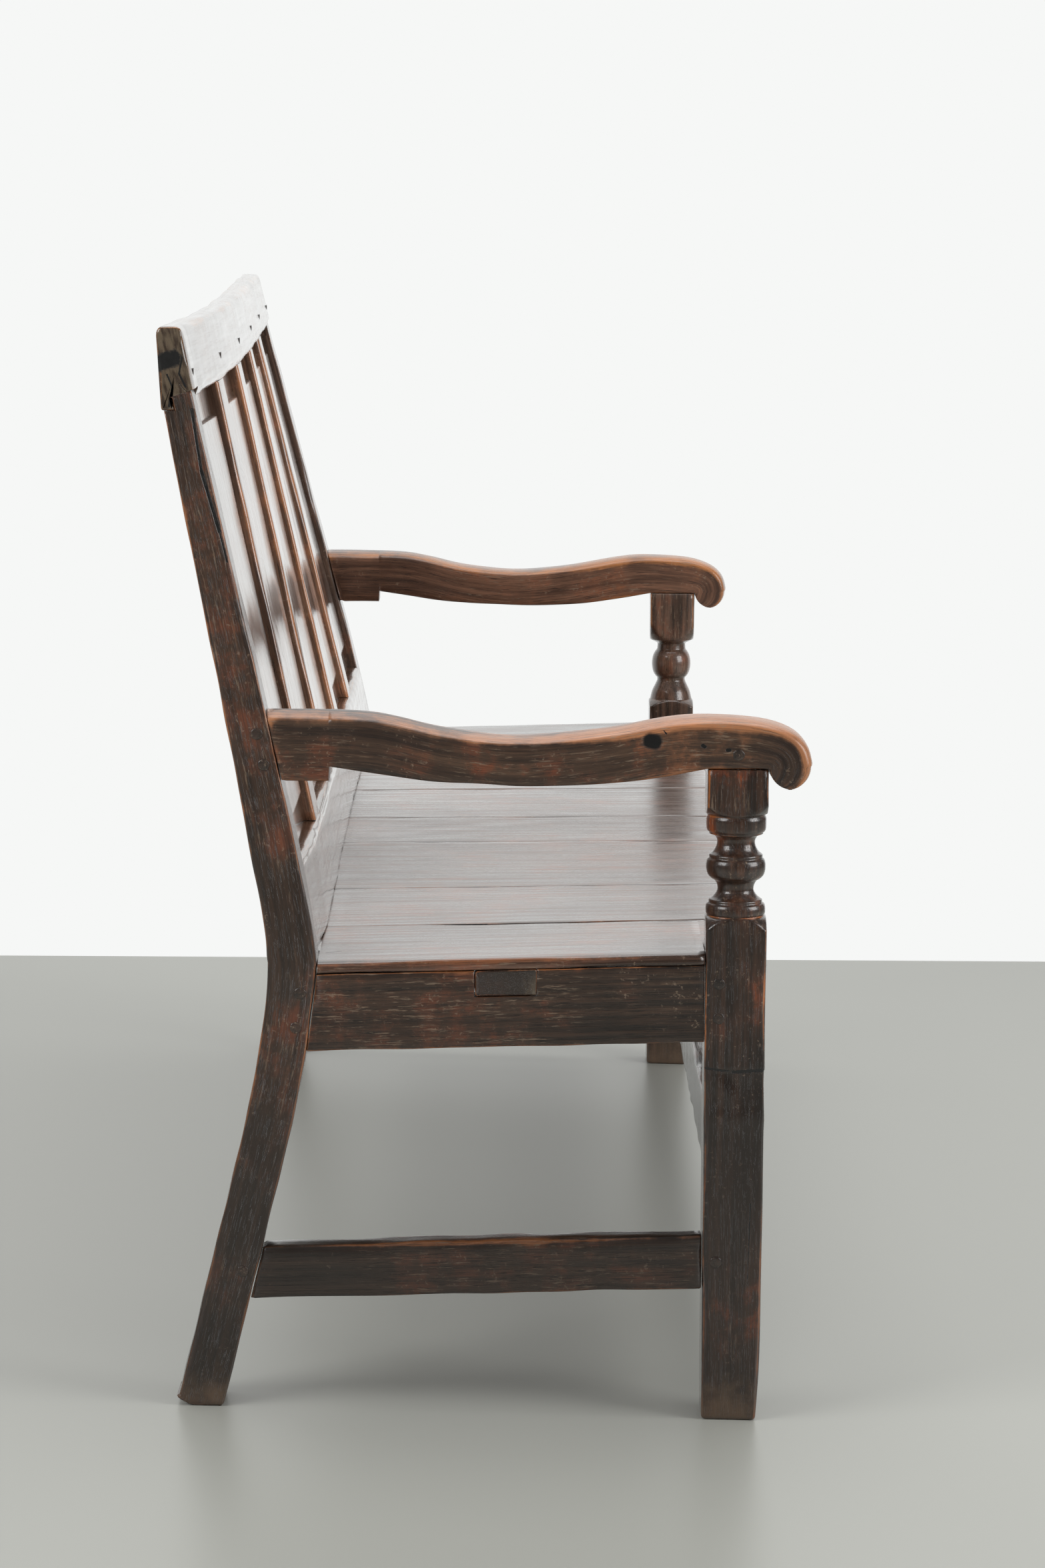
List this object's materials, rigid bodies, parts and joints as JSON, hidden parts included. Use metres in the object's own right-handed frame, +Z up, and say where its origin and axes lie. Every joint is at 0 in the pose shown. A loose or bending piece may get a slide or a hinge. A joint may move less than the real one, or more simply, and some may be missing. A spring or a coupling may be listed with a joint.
{
  "type": "oak settle bench",
  "caption": "Long pegged oak settle with a raked panelled back, open shaped arms on turned posts and a boarded seat.",
  "frame": {"origin": "on the floor, under the middle of the bench's bounding box", "axes": "+X along the seat to the sitter's left end, which is the far one in the picture; -Y towards the front, where the sitter's knees are; +Z up"},
  "size_m": [1.8016, 0.641, 1.0155],
  "materials": {
    "dark_oak": "old wax over near-black oak, worn brown at the arrises",
    "arm_oak": "old wax, rubbed brown by hands",
    "seat_oak": "polished by use",
    "peg_oak": "dark, dry end grain"
  },
  "bodies": {
    "root": {"rear_post_left": "dark_oak", "front_post_left": "dark_oak", "arm_left": "arm_oak", "side_rail_left": "dark_oak", "side_stretcher_left": "dark_oak", "rail_peg_left_1": "peg_oak", "rail_peg_left_2": "peg_oak", "rail_peg_left_3": "peg_oak", "rail_peg_left_4": "peg_oak", "stretcher_peg_left_1": "peg_oak", "stretcher_peg_left_2": "peg_oak", "arm_peg_left_1": "peg_oak", "arm_peg_left_2": "peg_oak", "pin_peg_left": "peg_oak", "rear_post_right": "dark_oak", "front_post_right": "dark_oak", "arm_right": "arm_oak", "side_rail_right": "dark_oak", "side_stretcher_right": "dark_oak", "rail_peg_right_1": "peg_oak", "rail_peg_right_2": "peg_oak", "rail_peg_right_3": "peg_oak", "rail_peg_right_4": "peg_oak", "stretcher_peg_right_1": "peg_oak", "stretcher_peg_right_2": "peg_oak", "arm_peg_right_1": "peg_oak", "arm_peg_right_2": "peg_oak", "pin_peg_right": "peg_oak", "front_rail": "dark_oak", "rear_rail": "dark_oak", "front_stretcher": "dark_oak", "seat_bearer": "dark_oak", "seat_board_1": "seat_oak", "seat_board_2": "seat_oak", "seat_board_3": "seat_oak", "seat_board_4": "seat_oak", "seat_board_5": "seat_oak", "seat_board_6": "seat_oak", "seat_board_7": "seat_oak", "seat_board_8": "seat_oak", "back_rail": "dark_oak", "crest_rail": "dark_oak", "muntin_1": "dark_oak", "muntin_2": "dark_oak", "muntin_3": "dark_oak", "muntin_4": "dark_oak", "panel_1": "dark_oak", "panel_2": "dark_oak", "panel_3": "dark_oak", "panel_4": "dark_oak", "panel_5": "dark_oak", "crest_peg_1": "peg_oak", "crest_peg_2": "peg_oak", "crest_peg_3": "peg_oak", "crest_peg_4": "peg_oak", "crest_peg_5": "peg_oak", "crest_peg_6": "peg_oak"}
  },
  "joints": []
}
